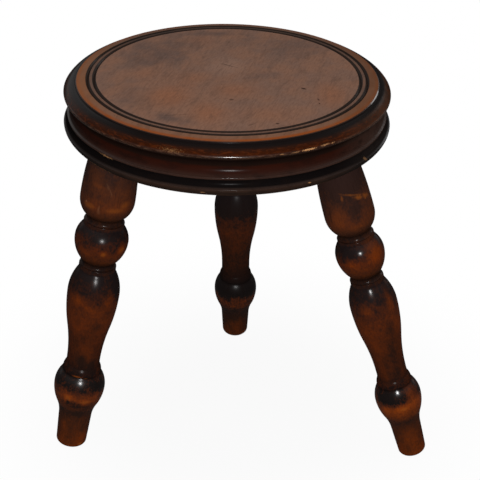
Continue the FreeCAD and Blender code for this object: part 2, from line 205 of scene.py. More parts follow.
class Turning:
    """Turned piece on the lathe: its outline is drawn out from one vertex, rounded at its corners and spun."""

    # How finely the outline is drawn: lengths in millimetres, and angles
    SHORT_LINE = 2.0
    END_GAP = 0.6
    FEWEST_ARC_STEPS = 4
    LONGEST_ARC_STEP = 2.2
    WIDEST_ARC_STEP = math.radians(6)
    CORNER_ANGLE = math.radians(16)
    CORNER_SEGMENTS = 3

    def __init__(self, radius, height):
        self.mesh = bmesh.new()
        self.tip = self.mesh.verts.new(self.point(radius, height))

    def point(self, radius, height):
        """Corner of the outline."""
        return Vector((radius, 0, height)) * MM

    def line(self, radius, height):
        """Straight stretch, with a vertex close to each end so that the shading turns only at the corners."""
        start = self.tip.co.copy()
        end = self.point(radius, height)
        length = (end - start).length / MM
        gap = self.END_GAP / length
        for share in (gap, 1 - gap, 1) if length > self.SHORT_LINE else (1,):
            self.tip = bmesh.ops.extrude_vert_indiv(self.mesh, verts=[self.tip])["verts"][0]
            self.tip.co = start.lerp(end, share)

    def swing(self, centre, radius, height):
        """Arc round a centre to a corner."""
        start = self.tip.co - centre
        end = self.point(radius, height) - centre
        sweep = math.atan2(start.z, start.x) - math.atan2(end.z, end.x)
        sweep = (sweep + math.pi) % (2 * math.pi) - math.pi
        length = abs(sweep) * start.length / MM
        steps = max(
            self.FEWEST_ARC_STEPS,
            math.ceil(abs(sweep) / self.WIDEST_ARC_STEP),
            math.ceil(length / self.LONGEST_ARC_STEP))
        spun = bmesh.ops.spin(self.mesh, geom=[self.tip], cent=centre, axis=(0, 1, 0), angle=sweep, steps=steps)
        self.tip = [item for item in spun["geom_last"] if isinstance(item, bmesh.types.BMVert)][0]
        self.tip.co = self.point(radius, height)

    def arc(self, radius, height, level_with):
        """Arc to a corner, with its centre level with its start or its end."""
        start = self.tip.co.copy()
        end = self.point(radius, height)
        level, other = (start, end) if level_with == "start" else (end, start)
        rise = other.z - level.z
        across = (other.x ** 2 + rise ** 2 - level.x ** 2) / (2 * (other.x - level.x))
        self.swing(Vector((across, 0, level.z)), radius, height)

    def hollow(self, radius, height, depth):
        """Arc to a corner that dips into the wood by a depth at its middle."""
        start = self.tip.co.copy()
        end = self.point(radius, height)
        chord = end - start
        outward = Vector((chord.z, 0, -chord.x)).normalized()
        reach = chord.length_squared / 8 / (depth * MM) - depth * MM / 2
        self.swing((start + end) / 2 + outward * reach, radius, height)

    def swell(self, radius, height, depth):
        """Arc to a corner that stands out from the wood by a depth at its middle."""
        self.hollow(radius, height, -depth)

    def ogee(self, radius, height, turn_share):
        """Double curve to a corner: two arcs that meet smoothly a share of the way along."""
        middle = self.tip.co.lerp(self.point(radius, height), turn_share) / MM
        self.arc(middle.x, middle.z, "start")
        self.arc(radius, height, "end")

    def round_corners(self, offset):
        """Soft wear on the arrises of the outline."""
        corners = []
        for vert in self.mesh.verts:
            if len(vert.link_edges) == 2:
                first, second = [edge.other_vert(vert).co - vert.co for edge in vert.link_edges]
                if first.angle(-second) > self.CORNER_ANGLE:
                    corners.append(vert)
        bmesh.ops.bevel(
            self.mesh, geom=corners, offset=offset * MM, offset_type="OFFSET", segments=self.CORNER_SEGMENTS,
            profile=0.5, affect="VERTICES", clamp_overlap=True, material=-1)

    def spin(self, steps):
        """Full turn of the outline about the Z axis."""
        outline = self.mesh.verts[:] + self.mesh.edges[:]
        bmesh.ops.spin(
            self.mesh, geom=outline, cent=(0, 0, 0), axis=(0, 0, 1), angle=2 * math.pi, steps=steps, use_merge=True)
        bmesh.ops.remove_doubles(self.mesh, verts=self.mesh.verts[:], dist=MERGE_DISTANCE)


def turned_seat():
    """Seat: the moulded edge from the underside up, then the table and its two incised rings."""
    seat = Turning(*UNDERSIDE_EDGE)
    seat.arc(*BASE_TOP, "end")
    seat.hollow(*HOLLOW_TOP, HOLLOW_DEPTH)
    seat.line(*LIP_BOTTOM)
    seat.line(*LIP_TOP)
    seat.hollow(*COVE_TOP, COVE_DEPTH)
    seat.line(*NOSING_BOTTOM)
    seat.swell(*NOSING_TOP, NOSING_SWELL)
    seat.swell(*OVOLO_TOP, OVOLO_SWELL)
    seat.hollow(*STEP_TOP, STEP_DEPTH)
    seat.line(*RIM_EDGE)
    for ring in (OUTER_RING, INNER_RING):
        seat.line(ring + RING_HALF_WIDTH, TABLE_HEIGHT)
        seat.line(ring, TABLE_HEIGHT - RING_DEPTH)
        seat.line(ring - RING_HALF_WIDTH, TABLE_HEIGHT)
    seat.line(0, TABLE_HEIGHT)
    seat.round_corners(SEAT_ARRIS)
    seat.spin(SEAT_STEPS)
    return seat.mesh


def bore_sockets(mesh):
    """Underside of the seat, with a blind socket for each tenon."""
    rim = [edge for edge in mesh.edges if edge.is_boundary]
    mouths = []
    for plan in leg_plans.values():
        radius = (TENON_RADIUS * plan.girth + TENON_FIT) * MM
        place = Matrix.Translation(-seat_foot) @ plan.placement
        circle = bmesh.ops.create_circle(
            mesh, cap_ends=False, radius=radius, segments=SOCKET_STEPS, matrix=place)["verts"]
        end = [vert.co.copy() for vert in circle]
        for vert in circle:
            vert.co -= plan.axis * (vert.co.z / plan.axis.z)
        mouth = list({edge for vert in circle for edge in vert.link_edges})
        mouths.extend(mouth)
        wall = bmesh.ops.extrude_edge_only(mesh, edges=mouth)["geom"]
        deep = [item for item in wall if isinstance(item, bmesh.types.BMVert)]
        for vert in deep:
            vert.co = min(end, key=lambda spot: (spot - vert.co).cross(plan.axis).length)
        floor = [item for item in wall if isinstance(item, bmesh.types.BMEdge) and item.is_boundary]
        bmesh.ops.contextual_create(mesh, geom=floor)
    bmesh.ops.triangle_fill(mesh, use_beauty=True, edges=rim + mouths, normal=(0, 0, -1))


def turned_leg(plan):
    """Leg: tenon, vase, ball, baluster, bulb and foot, whose square end is worn level with the floor."""
    girth = plan.girth
    leg = Turning(0, 0)
    leg.line(TENON_RADIUS * girth, 0)
    leg.line(TENON_RADIUS * girth, plan.shoulder)
    leg.arc(VASE_TOP_RADIUS * girth, plan.vase_top, "end")
    leg.arc(VASE_RADIUS * girth, plan.vase, "end")
    leg.arc(VASE_FOOT_RADIUS * girth, plan.upper_neck, "start")
    leg.hollow(VASE_FOOT_RADIUS * girth, plan.upper_ring, NECK_DEPTH * girth)
    leg.line(UPPER_RING_RADIUS * girth, plan.upper_ring)
    leg.line(UPPER_RING_RADIUS * girth, plan.ball_top)
    leg.line(BALL_TOP_RADIUS * girth, plan.ball_top)
    leg.arc(BALL_RADIUS * girth, plan.ball, "end")
    leg.arc(LOWER_NECK_RADIUS * girth, plan.lower_neck, "start")
    leg.hollow(LOWER_NECK_RADIUS * girth, plan.lower_ring, NECK_DEPTH * girth)
    leg.line(LOWER_RING_RADIUS * girth, plan.lower_ring)
    leg.line(LOWER_RING_RADIUS * girth, plan.baluster_top)
    leg.line(BALUSTER_TOP_RADIUS * girth, plan.baluster_top)
    leg.arc(BALUSTER_RADIUS * girth, plan.baluster, "end")
    leg.ogee(WAIST_RADIUS * girth, plan.waist, BALUSTER_TURN_SHARE)
    leg.line(WAIST_RADIUS * girth, plan.bead)
    leg.swell(BEAD_RADIUS * girth, plan.quirk, BEAD_SWELL * girth)
    leg.line((BEAD_RADIUS - QUIRK_DEPTH) * girth, plan.quirk + QUIRK_HEIGHT)
    leg.arc(BULB_RADIUS * girth, plan.bulb, "end")
    leg.ogee(ANKLE_RADIUS * girth, plan.ankle, BULB_TURN_SHARE)
    leg.line(FOOT_RADIUS * girth, plan.end - FOOT_ROUND)
    leg.arc(FOOT_RADIUS * girth - FOOT_ROUND, plan.end, "start")
    leg.line(0, plan.end)
    leg.round_corners(LEG_ARRIS)
    leg.spin(LEG_STEPS)
    bmesh.ops.transform(leg.mesh, matrix=plan.placement, verts=leg.mesh.verts[:])
    whole = leg.mesh.verts[:] + leg.mesh.edges[:] + leg.mesh.faces[:]
    cut = bmesh.ops.bisect_plane(
        leg.mesh, geom=whole, dist=MERGE_DISTANCE, plane_co=(0, 0, 0), plane_no=(0, 0, -1),
        clear_outer=True)["geom_cut"]
    rim = [item for item in cut if isinstance(item, bmesh.types.BMEdge)]
    bmesh.ops.contextual_create(leg.mesh, geom=rim)
    return leg.mesh


def placed(mesh, name, material):
    """Object of the scene, made from a bmesh."""
    data = bpy.data.meshes.new(name)
    mesh.to_mesh(data)
    mesh.free()
    data.materials.append(material)
    thing = bpy.data.objects.new(name, data)
    bpy.context.scene.collection.objects.link(thing)
    return thing


def finished_piece(mesh, name, node, material):
    """Piece of the stool, which replaces a CAD node and rides with the whole."""
    bmesh.ops.recalc_face_normals(mesh, faces=mesh.faces[:])
    for face in mesh.faces:
        face.smooth = True
    piece = placed(mesh, name, material)
    piece.data.set_sharp_from_angle(angle=SHARP_ANGLE)
    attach(piece, "root")
    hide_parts(node)


class Amount:
    """Number that varies over a surface. Sums and products of amounts add Math nodes to the finish."""

    def __init__(self, finish, socket):
        self.finish = finish
        self.socket = socket

    def calculate(self, operation, *operands):
        return self.finish.node("ShaderNodeMath", {"operation": operation}, dict(enumerate(operands)))

    def __add__(self, other):
        return self.calculate("ADD", self, other)

    def __radd__(self, other):
        return self.calculate("ADD", other, self)

    def __sub__(self, other):
        return self.calculate("SUBTRACT", self, other)

    def __rsub__(self, other):
        return self.calculate("SUBTRACT", other, self)

    def __mul__(self, other):
        return self.calculate("MULTIPLY", self, other)

    def __rmul__(self, other):
        return self.calculate("MULTIPLY", other, self)

    def __truediv__(self, other):
        return self.calculate("DIVIDE", self, other)

    def __rtruediv__(self, other):
        return self.calculate("DIVIDE", other, self)

    def __pow__(self, other):
        return self.calculate("POWER", self, other)

    def __rpow__(self, other):
        return self.calculate("POWER", other, self)

    def at_least(self, other):
        return self.calculate("MAXIMUM", self, other)

    def at_most(self, other):
        return self.calculate("MINIMUM", self, other)

    def angle_over(self, other):
        """Angle whose tangent is this amount over another."""
        return self.calculate("ARCTAN2", self, other)


def shade(red, green, blue):
    """Colour written as it is seen, in steps of 255, turned into the light that it gives."""
    parts = []
    for step in (red, green, blue):
        seen = step / 255
        parts.append(seen / 12.92 if seen <= 0.04045 else ((seen + 0.055) / 1.055) ** 2.4)
    return (*parts, 1.0)


def grey(amount):
    """Plain amount written as a colour."""
    return (amount, amount, amount, 1.0)


class Finish:
    """Nodes of a material or of the surround."""

    MIX_FIRST, MIX_SECOND, MIX_RESULT = 6, 7, 2
    COAT_IOR = 1.45
    FLAT = 1e5

    def __init__(self, owner):
        owner.use_nodes = True
        self.owner = owner
        self.nodes = owner.node_tree.nodes
        self.links = owner.node_tree.links
        self.nodes.clear()

    def node(self, kind, settings, sockets, output=0):
        """Any node: its settings first, then the values or links of its sockets."""
        made = self.nodes.new(kind)
        for setting, value in settings.items():
            if setting == "stops":
                ramp = made.color_ramp
                while len(ramp.elements) < len(value):
                    ramp.elements.new(1.0)
                for element, (position, colour) in zip(ramp.elements, value):
                    element.position = position
                    element.color = colour
            else:
                setattr(made, setting, value)
        for socket, value in sockets.items():
            if isinstance(value, Amount):
                self.links.new(value.socket, made.inputs[socket])
            else:
                made.inputs[socket].default_value = value
        return Amount(self, made.outputs[output]) if made.outputs else None

    def mapped(self, vector, location, rotation, scale):
        """Coordinates counted from a place, along turned axes and in steps of a size."""
        return self.node("ShaderNodeMapping", {"vector_type": "TEXTURE"}, {
            "Vector": vector, "Location": location, "Rotation": rotation, "Scale": scale})

    def coordinates(self, location, rotation):
        """Object coordinates in millimetres, from a point of the piece and along its own axes."""
        whole = self.node("ShaderNodeTexCoord", {}, {}, "Object")
        return self.mapped(whole, location, rotation, (MM, MM, MM))

    def stretch(self, vector, sizes, turn, shift=(0.0, 0.0, 0.0)):
        """Coordinates for a pattern whose features have these sizes, turned about Z by some degrees."""
        return self.mapped(vector, shift, (0, 0, math.radians(turn)), sizes)

    def split(self, vector):
        """The three coordinates as amounts."""
        first = self.node("ShaderNodeSeparateXYZ", {}, {0: vector})
        return [Amount(self, output) for output in first.socket.node.outputs]

    def unrolled(self, around, height):
        """Coordinates of a turned surface that is laid out flat."""
        return self.node("ShaderNodeCombineXYZ", {}, {0: around, 1: height})

    def length(self, vector):
        """Distance from the place that a vector is counted from."""
        return self.node("ShaderNodeVectorMath", {"operation": "LENGTH"}, {0: vector}, "Value")

    def cloud(self, vector, sizes, detail, turn=0.0, roughness=0.6, distortion=0.0):
        """Soft noise between 0 and 1, with features of these sizes."""
        return self.node("ShaderNodeTexNoise", {}, {
            "Vector": self.stretch(vector, sizes, turn), "Scale": 1.0, "Detail": detail, "Roughness": roughness,
            "Distortion": distortion})

    def step(self, value, start, end, low=0.0, high=1.0):
        """Soft step from one amount to another while a value goes from start to end."""
        return self.node("ShaderNodeMapRange", {"interpolation_type": "SMOOTHSTEP", "clamp": True}, {
            "Value": value, "From Min": start, "From Max": end, "To Min": low, "To Max": high})

    def band(self, value, low, high, soft):
        """Mask that is 1 between two values and fades beyond them."""
        return self.step(value, low - soft, low) * self.step(value, high, high + soft, 1.0, 0.0)

    def spot(self, vector, centre, half_sizes, turn, soft, ragged=None):
        """Mask of one oval mark, whose outline another amount may make ragged."""
        reach = self.length(self.stretch(vector, (*half_sizes, self.FLAT), turn, (*centre, 0.0)))
        if ragged is not None:
            reach = reach + ragged
        return self.step(reach, 1.0 - soft, 1.0, 1.0, 0.0)

    def marks(self, vector, noise, table):
        """Mask of all the marks in a table, whose outlines a noise makes ragged."""
        masks = [
            self.spot(vector, centre, half_sizes, turn, soft, (noise - 0.5) * ragged) * strength
            for centre, half_sizes, turn, soft, ragged, strength in table]
        return functools.reduce(Amount.at_least, masks)

    def ramp(self, value, stops):
        """Colour that follows a value."""
        first, last = stops[0][0], stops[-1][0]
        share = self.node("ShaderNodeMapRange", {"clamp": True}, {
            "Value": value, "From Min": first, "From Max": last, "To Min": 0.0, "To Max": 1.0})
        stops = [((position - first) / (last - first), colour) for position, colour in stops]
        return self.node("ShaderNodeValToRGB", {"stops": stops}, {0: share})

    def profile(self, value, stops):
        """Amount that follows a value."""
        return self.ramp(value, [(position, grey(amount)) for position, amount in stops])

    def mix(self, share, first, second):
        """One colour over another."""
        sockets = {0: share, self.MIX_FIRST: first, self.MIX_SECOND: second}
        return self.node("ShaderNodeMix", {"data_type": "RGBA"}, sockets, self.MIX_RESULT)

    def layers(self, colour, *tints):
        """Colour with others laid over it in turn, each through its mask."""
        for mask, tint in tints:
            colour = self.mix(mask, colour, tint)
        return colour

    def bump(self, height):
        """Surface relief; the height is in millimetres."""
        return self.node("ShaderNodeBump", {}, {"Strength": 1.0, "Distance": MM, "Height": height})

    def polish(self, colour, roughness, relief, coat, coat_roughness):
        """Wood under a coat of polish, which is worn off where the coat is thin."""
        wood = self.node("ShaderNodeBsdfPrincipled", {}, {
            "Base Color": colour, "Roughness": roughness, "Normal": relief, "Specular IOR Level": 0.0,
            "Coat Weight": coat, "Coat Roughness": coat_roughness, "Coat IOR": self.COAT_IOR})
        self.node("ShaderNodeOutputMaterial", {}, {"Surface": wood})
        return self.owner


# Blotches on the table, rubbed warm or clouded: the place from the middle, half sizes, turn and strength of each
WARM_BLOTCHES = (
    ((-44.0, -42.0), (27.0, 36.0), -20.0, 0.7),
    ((-27.0, -7.0), (20.0, 18.0), 0.0, 0.4),
    ((-15.0, -71.0), (22.0, 32.0), 10.0, 0.6),
    ((5.0, -29.0), (26.0, 20.0), 0.0, 0.5),
    ((78.0, -34.0), (18.0, 32.0), 0.0, 0.6),
    ((30.0, -72.0), (36.0, 22.0), 0.0, 0.3),
    ((-64.0, 2.0), (20.0, 18.0), 0.0, 0.3),
    ((-22.0, 73.0), (18.0, 18.0), 0.0, 0.3),
)
CLOUDED_BLOTCHES = (
    ((-56.0, 46.0), (36.0, 52.0), -22.0, 0.7),
    ((-12.0, 90.0), (38.0, 10.0), 0.0, 0.6),
    ((56.0, 62.0), (36.0, 40.0), 40.0, 0.5),
    ((15.0, 73.0), (22.0, 18.0), 0.0, 0.35),
    ((27.0, 2.0), (18.0, 15.0), 0.0, 0.3),
    ((-72.0, -42.0), (15.0, 34.0), 14.0, 0.35),
    ((-39.0, -82.0), (28.0, 11.0), -28.0, 0.7),
)

# Knocks and scratches on the table: the place, half sizes, turn, softness, raggedness and strength of each
TABLE_KNOCKS = (
    ((0.9, 20.0), (10.5, 0.7), -33.0, 0.5, 1.2, 0.55),
    ((3.1, -46.4), (2.6, 2.2), 0.0, 0.7, 0.0, 0.6),
    ((57.6, -23.8), (3.2, 1.5), -35.0, 0.6, 0.0, 0.9),
    ((67.7, -44.1), (0.9, 2.6), 10.0, 0.6, 0.0, 0.7),
    ((68.0, -51.4), (0.8, 1.6), 0.0, 0.6, 0.0, 0.7),
    ((35.9, -87.6), (1.8, 1.4), 0.0, 0.6, 0.0, 0.8),
    ((17.4, -89.9), (4.5, 0.6), 35.0, 0.6, 0.0, 0.6),
    ((-36.0, -75.0), (14.0, 0.6), 8.0, 0.6, 1.2, 0.4),
)

# Chips on the nosing, the lip and the base, written in the same way, but placed by their distance round the edge
# and their height
EDGE_CHIPS = (
    ((-160.5, 31.0), (2.5, 0.5), 0.0, 0.8, 1.6, 0.4),
    ((-150.0, 31.1), (4.0, 0.5), 0.0, 0.8, 1.6, 0.35),
    ((-139.2, 31.3), (7.5, 0.7), 0.0, 0.7, 1.6, 0.9),
    ((-125.0, 31.7), (7.5, 0.6), 0.0, 0.8, 3.0, 0.6),
    ((-298.0, 12.2), (9.0, 1.2), 0.0, 0.7, 1.6, 0.6),
    ((-81.6, 6.4), (2.2, 1.4), 0.0, 0.7, 1.6, 0.25),
    ((-138.5, 5.6), (1.8, 0.6), 0.0, 0.6, 0.0, 0.6),
    ((-216.0, 3.6), (2.5, 0.6), 0.0, 0.6, 0.0, 0.4),
    ((-318.0, 1.8), (30.0, 0.8), 0.0, 0.6, 1.6, 0.35),
)

# Colour and gloss of the moulded edge by height, from the underside up
EDGE_COLOURS = (
    (0.0, shade(60, 42, 32)),
    (3.0, shade(34, 24, 19)),
    (5.6, shade(46, 31, 24)),
    (6.5, shade(38, 26, 21)),
    (7.4, shade(13, 10, 10)),
    (12.0, shade(12, 9, 9)),
    (12.8, shade(52, 33, 26)),
    (13.9, shade(48, 31, 25)),
    (16.5, shade(42, 19, 13)),
    (20.0, shade(42, 16, 9)),
    # Painted shade: the darkest stops, over the upper part of the cove under the nosing.
    (21.8, shade(26, 15, 11)),
    (27.6, shade(20, 12, 10)),
    (29.8, shade(34, 19, 13)),
    (31.4, shade(43, 18, 7)),
    (33.4, shade(44, 16, 4)),
    (34.2, shade(40, 17, 7)),
    (36.0, shade(19, 14, 13)),
    (37.9, shade(16, 12, 12)),
    (38.5, shade(70, 38, 20)),
)
EDGE_GLOSS = (
    (0.0, 0.0), (3.5, 0.2), (6.0, 0.4), (7.2, 0.02), (12.2, 0.02), (12.8, 0.7), (14.2, 0.7), (15.0, 0.06),
    (20.0, 0.07), (24.0, 0.04), (28.6, 0.15), (29.6, 0.9), (31.4, 0.9), (32.2, 0.3), (36.0, 0.35), (37.7, 0.3),
    (38.2, 0.4),
)


class SeatFinish(Finish):
    """Worn brown table, black rings, dark polished mouldings and a bare underside."""

    COAT_ROUGHNESS = 0.2
    TABLE_GLOSS = 0.12

    def __init__(self):
        super().__init__(bpy.data.materials.new("seat_wood"))
        self.place = self.coordinates(seat_foot, (0, 0, 0))
        across, along, self.height = self.split(self.place)
        self.radius = (across * across + along * along) ** 0.5
        rolled = self.unrolled(along.angle_over(across) * SEAT_ROLL_RADIUS, self.height)

        # Sides and top of the seat
        self.towards_back = along / self.radius
        towards_right = across / self.radius
        self.front = self.step(self.towards_back, -0.93, -0.55, 1.0, 0.0)
        self.back = self.step(self.towards_back, 0.1, 0.9)
        self.left = self.step(towards_right, -0.97, -0.8, 1.0, 0.0)
        self.right = self.step(towards_right, 0.6, 0.95)
        rim_radius, rim_height = RIM_EDGE
        self.on_top = self.step(self.radius, rim_radius - 0.1, rim_radius + 0.4, 1.0, 0.0)
        self.on_top = self.on_top * self.step(self.height, rim_height - 8.5, rim_height - 6.5)

        # Slanting grain, and patterns of wear
        self.fibres = self.cloud(self.place, (22.0, 0.9, 3.0), 4.0, turn=76.0, distortion=0.2)
        self.streaks = self.cloud(self.place, (26.0, 7.0, 9.0), 4.0, turn=76.0, distortion=0.6)
        self.grain = self.cloud(self.place, (5.0, 1.6, 3.0), 3.0, turn=70.0, distortion=0.3)
        self.patches = self.cloud(self.place, (22.0, 17.0, 17.0), 4.0, turn=62.0)
        self.flecks = self.cloud(self.place, (4.0, 1.2, 3.0), 2.0, turn=62.0, roughness=0.5)
        self.wear = self.cloud(self.place, (16.0, 16.0, 6.0), 4.0)
        self.rubbed = self.cloud(rolled, (5.0, 1.1, 1.0), 3.0)
        self.crackle = self.cloud(rolled, (1.2, 0.6, 1.0), 3.0)

        # Knocks, chips and a crackled patch, and the nosing that is rubbed all round
        self.knocks = self.marks(self.place, self.flecks, TABLE_KNOCKS)
        crackled = self.spot(rolled, (-239.0, 32.4), (13.0, 2.2), 0.0, 0.9, (self.crackle - 0.42) * 4.0)
        self.bare = self.marks(rolled, self.flecks, EDGE_CHIPS).at_least(crackled * 0.28)
        self.nosing = self.band(self.height, 30.0, 31.2, 0.5)

    def table(self):
        """Brown wood inside the rings, warm where it is rubbed and greyish where the polish has clouded."""
        colour = self.mix(self.step(self.patches, 0.36, 0.64), shade(117, 88, 74), shade(125, 90, 72))
        for blotches, tint in ((WARM_BLOTCHES, shade(136, 86, 58)), (CLOUDED_BLOTCHES, shade(78, 64, 60))):
            for centre, half_sizes, turn, strength in blotches:
                blotch = self.spot(self.place, centre, half_sizes, turn, 1.0, (self.patches - 0.5) * 1.4)
                colour = self.mix(blotch * strength, colour, tint)
        pale = self.spot(self.place, (0.0, 18.0), (26.0, 26.0), 0.0, 1.0, (self.patches - 0.5) * 0.8)
        return self.layers(
            colour,
            (pale * 0.7, shade(134, 103, 87)),
            (self.step(self.streaks, 0.48, 0.72, 0.0, 0.4), shade(88, 65, 54)),
            (self.step(self.fibres, 0.5, 0.78, 0.0, 0.32), shade(76, 50, 38)),
            (self.step(self.grain, 0.46, 0.7, 0.0, 0.28), shade(80, 56, 45)),
            (self.step(self.grain, 0.3, 0.45, 0.15, 0.0), shade(150, 112, 90)),
            (self.step(self.flecks, 0.66, 0.78, 0.0, 0.35), shade(52, 36, 28)),
            (self.knocks, shade(44, 24, 17)))

    def rim(self):
        """Wood outside the rings, redder than the table and rubbed to orange at its edge; its darkening at the back is
        painted shade.
        """
        rim_radius = RIM_EDGE[0]
        outside = self.step(self.radius, rim_radius - 3.8, rim_radius - 0.8)
        return self.layers(
            shade(114, 80, 61),
            (self.step(self.streaks, 0.4, 0.7, 0.0, 0.6), shade(94, 65, 49)),
            (self.step(self.flecks, 0.6, 0.75, 0.0, 0.5), shade(66, 42, 30)),
            (outside * self.step(self.patches, 0.3, 0.65, 0.5, 1.0), shade(126, 62, 21)),
            (self.right * self.step(self.patches, 0.3, 0.6, 0.45, 0.8), shade(94, 56, 31)),
            (self.left * self.step(self.patches, 0.3, 0.6, 0.3, 0.7), shade(126, 80, 50)),
            # Painted shade: the rim is darkened towards the back.
            (self.back * 0.4, shade(74, 47, 30)))

    def top(self):
        """Table and rim, with two black rings and darker wood between them, darkened further at the back by painted
        shade.
        """
        # Darker land between the rings, with painted shade that darkens it further towards the back.
        land_darkening_and_back_shade = self.band(self.radius, INNER_RING - 1.1, OUTER_RING + 1.1, 0.6) * (0.35 + self.back * 0.5)
        reach = RING_HALF_WIDTH + 0.1
        rings = [self.band(self.radius, ring - reach, ring + reach, 0.5) for ring in (OUTER_RING, INNER_RING)]
        black = functools.reduce(Amount.at_least, rings, land_darkening_and_back_shade)
        return self.layers(
            self.table(),
            (self.step(self.radius, OUTER_RING - 1.9, OUTER_RING + 1.6), self.rim()),
            (black * 0.92, shade(17, 15, 14)))

    def edge(self):
        """Moulded edge: dark polish, greyed at the right by painted sheen, rubbed on the ovolo and chipped on the
        nosing.
        """
        ovolo = self.band(self.height, 31.8, 34.4, 1.0)
        nosing_and_ovolo = self.band(self.height, 29.6, 35.4, 1.0)
        cove = self.band(self.height, 14.0, 28.0, 1.0)
        lower_cove = self.band(self.height, 14.0, 24.0, 3.0)
        hollow = self.band(self.height, 7.6, 11.8, 0.8)
        base = self.band(self.height, 2.0, 6.6, 1.0)
        return self.layers(
            self.ramp(self.height, EDGE_COLOURS),
            (ovolo * self.left * 0.7, shade(30, 22, 19)),
            # Painted sheen: greyish lighter tints on the nosing, ovolo, cove and hollow at the right side.
            (nosing_and_ovolo * self.right * 0.7, shade(66, 44, 32)),
            (lower_cove * self.right * 0.85, shade(62, 45, 38)),
            (hollow * self.right * 0.8, shade(34, 28, 26)),
            (base * (1 - self.front) * 0.8, shade(17, 14, 14)),
            (cove * self.left * 0.5, shade(20, 13, 11)),
            (self.step(self.wear, 0.45, 0.7, 0.0, 0.5), shade(18, 12, 10)),
            (ovolo * self.step(self.rubbed, 0.46, 0.66, 0.0, 0.4), shade(84, 36, 9)),
            (self.nosing * self.step(self.rubbed, 0.42, 0.7, 0.0, 0.4), shade(104, 76, 58)),
            (self.bare, shade(176, 128, 84)))

    def coat(self):
        """Polish: thick on the arrises and in the step, worn thin in front and at the right, dull in the hollows."""
        worn_ovolo = self.band(self.height, 32.2, 37.6, 0.5) * self.front
        faded_ovolo = self.band(self.height, 31.8, 37.2, 0.4) * self.right
        faded_lip = self.band(self.height, 12.6, 14.4, 0.4) * self.right
        glint = self.band(self.towards_back, -0.4, -0.22, 0.04) * self.band(self.height, 37.7, 38.4, 0.2)
        coat = self.profile(self.height, EDGE_GLOSS) * (1 - self.bare)
        coat = coat * (1 - worn_ovolo * 0.8) * (1 - faded_ovolo * 0.8) * (1 - faded_lip * 0.75)
        coat = coat.at_least(glint * self.right)
        return coat * (1 - self.on_top) + self.on_top * self.TABLE_GLOSS

    def finished(self):
        """Material of the whole seat."""
        bare_wood = self.mix(self.streaks, shade(70, 48, 34), shade(112, 82, 58))
        colour = self.layers(
            self.edge(),
            (self.on_top, self.top()),
            (self.step(self.height, 0.05, 0.4, 1.0, 0.0), bare_wood))
        roughness = self.on_top * 0.1 + self.step(self.wear, 0.3, 0.8, 0.4, 0.5) + self.bare * 0.2
        dents = self.knocks * 0.3 + self.bare * 0.4
        cracks = self.crackle * (0.02 + self.nosing * 0.45)
        relief = self.bump(self.fibres * 0.03 + self.wear * 0.06 + cracks - dents)
        return self.polish(colour, roughness, relief, self.coat(), self.COAT_ROUGHNESS)


